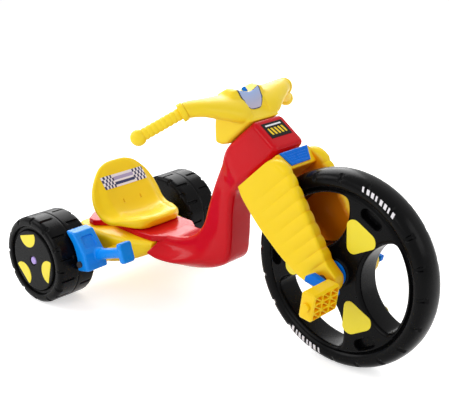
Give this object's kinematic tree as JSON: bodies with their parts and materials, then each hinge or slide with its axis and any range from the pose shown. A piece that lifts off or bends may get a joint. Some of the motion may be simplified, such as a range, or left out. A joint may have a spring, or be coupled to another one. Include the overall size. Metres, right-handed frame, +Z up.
{
  "type": "pedal_tricycle",
  "caption": "Low rider pedal tricycle with a red body, yellow bucket seat, fork and handlebar, large black front wheel with pedals, wide rear wheels and a blue hand brake",
  "frame": {"origin": "on the ground under the middle of the length and of the width", "axes": "+X forward, +Y to the rider's left, +Z up"},
  "size_m": [0.981, 0.508, 0.5232],
  "materials": {
    "red_plastic": "glossy blow-moulded plastic",
    "yellow_plastic": "satin to glossy moulded plastic",
    "lemon_plastic": "smooth moulded plastic",
    "blue_plastic": "glossy moulded plastic",
    "black_plastic": "satin moulded plastic",
    "black_trim": "matt moulded plastic",
    "lilac_plastic": "smooth moulded plastic",
    "bush_plastic": "matt bearing plastic",
    "steel": "drawn steel rod"
  },
  "bodies": {
    "frame": {"main_frame": "red_plastic", "rear_frame": "yellow_plastic", "seat": "yellow_plastic", "seat_bolts": "steel", "frame_bolts": "steel", "rear_axle": "steel", "axle_washers": "steel", "axle_cap_right": "lilac_plastic", "axle_cap_left": "lilac_plastic", "steering_bush_lower": "bush_plastic", "steering_bush_upper": "bush_plastic", "brake_bolt": "black_trim"},
    "steering": {"fork_right": "yellow_plastic", "fork_left": "yellow_plastic", "fork_dowels": "steel", "grille_plate": "blue_plastic", "steering_post": "steel", "steering_washers": "black_trim", "post_nut": "steel", "handlebar": "yellow_plastic", "grip_right": "yellow_plastic", "grip_left": "yellow_plastic", "dash_knob": "blue_plastic", "axle_bush_right": "bush_plastic", "axle_bush_left": "bush_plastic"},
    "front_wheel": {"front_wheel": "black_plastic", "front_badges_right": "lemon_plastic", "front_badges_left": "lemon_plastic", "hub_flange_right": "blue_plastic", "hub_flange_left": "blue_plastic", "crank_axle": "steel", "crank_right": "blue_plastic", "crank_left": "blue_plastic", "spindle_right": "steel", "spindle_left": "steel", "spindle_cap_right": "yellow_plastic", "spindle_cap_left": "yellow_plastic"},
    "pedal_right": {"pedal_right": "yellow_plastic"},
    "pedal_left": {"pedal_left": "yellow_plastic"},
    "rear_wheel_right": {"rear_wheel_right": "black_plastic", "rear_badges_right": "lemon_plastic"},
    "rear_wheel_left": {"rear_wheel_left": "black_plastic", "rear_badges_left": "lemon_plastic"},
    "brake": {"brake_lever": "blue_plastic"}
  },
  "joints": [
    {"name": "steer", "type": "hinge", "parent": "frame", "child": "steering", "pos_m": [0.2885, 0, 0.202], "axis": [-0.6756, 0, 0.7373], "range_deg": [-40, 40]},
    {"name": "front_spin", "type": "hinge", "parent": "steering", "child": "front_wheel", "pos_m": [0.2885, 0, 0.202], "axis": [0, 1, 0], "continuous": true},
    {"name": "pedal_right_spin", "type": "hinge", "parent": "front_wheel", "child": "pedal_right", "pos_m": [0.32845, -0.136, 0.19278], "axis": [0, 1, 0], "continuous": true},
    {"name": "pedal_left_spin", "type": "hinge", "parent": "front_wheel", "child": "pedal_left", "pos_m": [0.24855, 0.136, 0.21122], "axis": [0, 1, 0], "continuous": true},
    {"name": "rear_right_spin", "type": "hinge", "parent": "frame", "child": "rear_wheel_right", "pos_m": [-0.3895, -0.203, 0.101], "axis": [0, 1, 0], "continuous": true},
    {"name": "rear_left_spin", "type": "hinge", "parent": "frame", "child": "rear_wheel_left", "pos_m": [-0.3895, 0.203, 0.101], "axis": [0, 1, 0], "continuous": true},
    {"name": "brake_pull", "type": "hinge", "parent": "frame", "child": "brake", "pos_m": [-0.27335, -0.181, 0.11211], "axis": [0, -1, 0], "range_deg": [-6, 2.4]}
  ]
}
